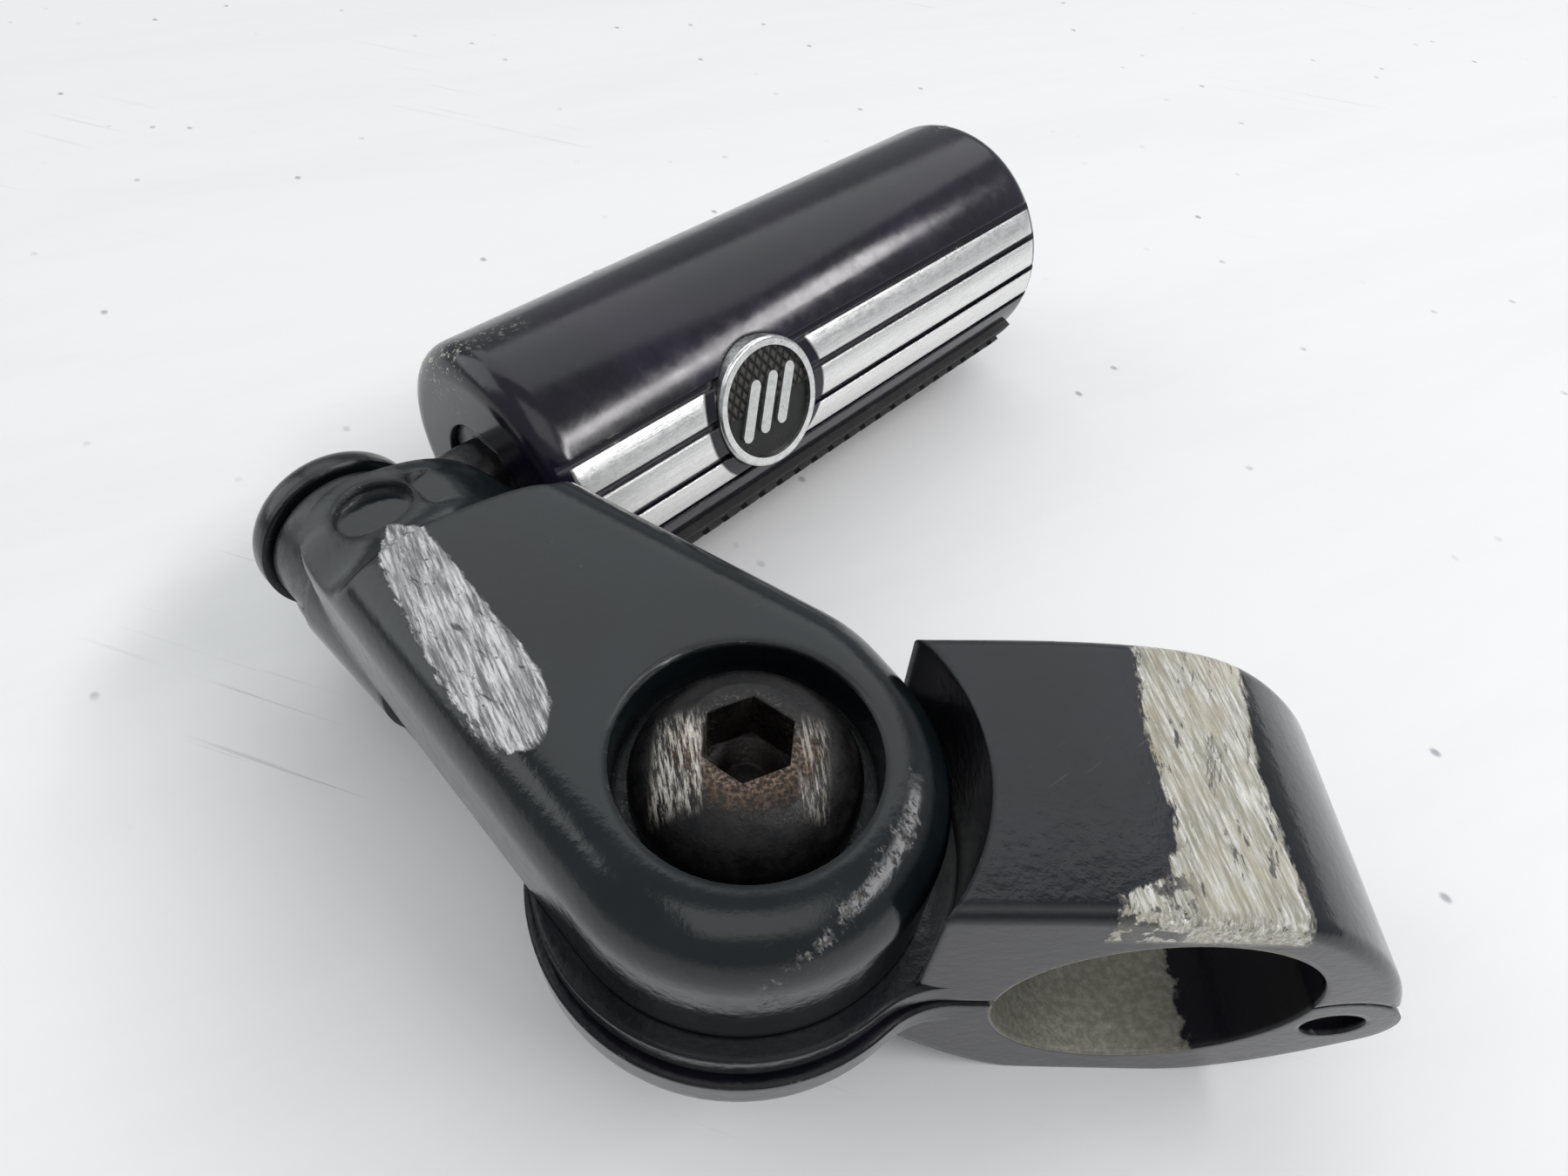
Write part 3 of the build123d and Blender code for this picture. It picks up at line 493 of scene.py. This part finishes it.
def rubber_mat():
    m = Mat("rubber_matt_black")
    o = mm(m)
    n = m.noise(o, 0.9, 6.0, 0.7)
    dusty = m.noise(o, 0.12, 4.0)
    col = m.mix(m.ramp(n, 0.35, 0.7), (0.008, 0.008, 0.008, 1), (0.022, 0.022, 0.022, 1))
    # painted highlight: rubber edges lightened evenly to grey
    e = m.edge(0.0004)
    col = m.mix(m.ramp(e, 0.05, 0.25, 0.0, 0.6), col, (0.060, 0.060, 0.060, 1))
    col = m.mix(m.ramp(dusty, 0.52, 0.7, 0.0, 0.5), col, (0.070, 0.068, 0.064, 1))
    m.set(Base_Color=col, Roughness=m.ramp(n, 0.3, 0.7, 0.62, 0.85))
    m.link(m.bump(n, 0.4, 0.0004), m.b.inputs["Normal"])
    return m.m


MATS = {
    "clamp_upper_half": paint("clamp_upper_gloss_black", scuffs=(clamp_scuff,), bare=bare_bore, seed=0.013),
    "clamp_lower_half": paint("clamp_lower_gloss_black", bare=bare_bore, seed=0.037),
    "clevis_arm": paint("arm_gloss_black", (0.0040, 0.0060, 0.0072, 1), (0.0075, 0.0115, 0.0135, 1), scuffs=(dirt_line, arm_scuff, disc_streak), soften=0.0014, seed=0.0),
    "clamp_screw": screw_mat(),
    "clamp_hinge_pin": machined("hinge_pin_steel", (0.42, 0.41, 0.40, 1), (0.20, 0.19, 0.18, 1), 0.34, axis=(UP, Vector((1, 0, 0)), Vector((0, 1, 0)))),
    "pivot_pin": machined("pivot_pin_steel", (0.40, 0.40, 0.40, 1), (0.18, 0.18, 0.18, 1), 0.32),
    "pivot_retaining_ring": machined("ring_dark_steel", (0.16, 0.155, 0.15, 1), (0.07, 0.066, 0.062, 1), 0.38),
    "peg_end_washer": machined("washer_steel", (0.46, 0.45, 0.44, 1), (0.24, 0.23, 0.22, 1), 0.33),
    "peg_core": paint("core_satin_black", (0.010, 0.010, 0.011, 1), (0.022, 0.022, 0.023, 1), rough=0.26, seed=0.09),
    "peg_end_screw": paint("end_screw_black", (0.010, 0.010, 0.011, 1), (0.024, 0.023, 0.022, 1), rough=0.24, soften=0.0004, seed=0.11),
    "peg_body": peg_mat(),
    "rubber_pad": rubber_mat(),
    "medallion_bezel": bright_mat("bezel_bright", (0.86, 0.86, 0.85, 1), (0.62, 0.62, 0.61, 1), 0.20),
    "medallion_insert": insert_mat(),
    "medallion_bars": bright_mat("bars_satin_silver", (0.80, 0.80, 0.79, 1), (0.62, 0.62, 0.61, 1), 0.34),
}
for name, mat in MATS.items():
    me = NODES[name].data
    me.materials.clear()
    me.materials.append(mat)

# ---------------------------------------------------------------------------
# floor
# ---------------------------------------------------------------------------
floor_me = bpy.data.meshes.new("floor")
S = 3.0
floor_me.from_pydata([(-S, -S, FLOOR_Z), (S, -S, FLOOR_Z), (S, S, FLOOR_Z), (-S, S, FLOOR_Z)], [], [(0, 1, 2, 3)])
floor = bpy.data.objects.new("floor", floor_me)
bpy.context.scene.collection.objects.link(floor)
fm = Mat("pale_table")
fo = mm(fm)
smear = fm.noise(fm.local((0, 0, 0), (0.9, 0.43, 0), (-0.43, 0.9, 0), (0, 0, 1), (0.006, 0.03, 0.02)), 1.0, 6.0, 0.65)
fcol = fm.mix(fm.ramp(smear, 0.35, 0.75), (0.89, 0.89, 0.885, 1), (0.85, 0.852, 0.855, 1))
fleck = fm.mul(fm.ramp(fm.voronoi(fm.local((0, 0, 0), (1, 0, 0), (0.3, 1, 0), (0, 0, 1)), 0.05, dim="2D"), 0.015, 0.05, 1.0, 0.0), fm.ramp(fm.noise(fo, 0.06, 3.0), 0.52, 0.66))
fcol = fm.mix(fm.mul(fleck, 0.7), fcol, (0.25, 0.26, 0.30, 1))
scratch = fm.noise(fm.local((0.3, 0, 0), (0.3, 0.95, 0), (-0.95, 0.3, 0), (0, 0, 1), (0.9, 0.008, 0.02)), 1.0, 4.0, 0.6)
fcol = fm.mix(fm.mul(fm.ramp(scratch, 0.63, 0.68), fm.mul(fm.ramp(fm.noise(fo, 0.012, 2.0), 0.55, 0.62), 0.35)), fcol, (0.40, 0.41, 0.43, 1))
fm.set(Base_Color=fcol, Roughness=fm.ramp(smear, 0.3, 0.7, 0.46, 0.56))
fm.b.inputs["Specular IOR Level"].default_value = 0.25
floor_me.materials.append(fm.m)

# ---------------------------------------------------------------------------
# light
# ---------------------------------------------------------------------------
scene = bpy.context.scene
scene.view_settings.view_transform = "Standard"
world = scene.world or bpy.data.worlds.new("world")
scene.world = world
world.use_nodes = True
wt = world.node_tree
wt.nodes.clear()
wo = wt.nodes.new("ShaderNodeOutputWorld")
wb = wt.nodes.new("ShaderNodeBackground")
wb.inputs[0].default_value = (0.93, 0.965, 1.0, 1)
wb.inputs[1].default_value = 0.37
wt.links.new(wb.outputs[0], wo.inputs[0])


def area(name, loc, target, size, size_y, power, color=(1, 1, 1)):
    l = bpy.data.lights.new(name, "AREA")
    l.shape = "RECTANGLE"
    l.size = size
    l.size_y = size_y
    l.energy = power
    l.color = color
    o = bpy.data.objects.new(name, l)
    o.location = loc
    o.rotation_euler = (Vector(target) - Vector(loc)).to_track_quat("-Z", "Y").to_euler()
    scene.collection.objects.link(o)
    return o


MID = (0.0, 0.03, 0.0)
area("key_right", (0.86, -0.05, 0.88), MID, 1.15, 0.16, 8.2, (1.0, 0.985, 1.0))
area("top_front", (0.05, -0.55, 1.25), MID, 1.1, 0.9, 3.0, (1.0, 0.995, 0.985))
area("top_back", (-0.1, 1.0, 1.15), MID, 2.0, 1.1, 6.4, (0.97, 0.99, 1.0))
area("left_fill", (-1.15, 0.25, 0.65), MID, 0.9, 0.9, 3.6, (0.95, 0.98, 1.0))

# ---------------------------------------------------------------------------
# camera
# ---------------------------------------------------------------------------
E, AZ, ROLL = math.radians(49.32), math.radians(3.61), math.radians(5.03)
FOC = 1138.66
CAM_AT = Vector((-41.98, -47.1, 98.94)) / 1000.0
fwd = Vector((math.sin(AZ) * math.cos(E), math.cos(AZ) * math.cos(E), -math.sin(E)))
right = Vector((math.cos(AZ), -math.sin(AZ), 0.0))
upv = right.cross(fwd)
r2 = math.cos(ROLL) * right + math.sin(ROLL) * upv
u2 = -math.sin(ROLL) * right + math.cos(ROLL) * upv
cam_data = bpy.data.cameras.new("camera")
cam_data.sensor_fit = "HORIZONTAL"
cam_data.sensor_width = 36.0
cam_data.lens = FOC / 1800.0 * 36.0
cam_data.clip_start = 0.002
cam = bpy.data.objects.new("camera", cam_data)
rot = Matrix((r2, u2, -fwd)).transposed()
cam.matrix_world = Matrix.Translation(CAM_AT) @ rot.to_4x4()
scene.collection.objects.link(cam)
scene.camera = cam

bpy.context.view_layer.update()
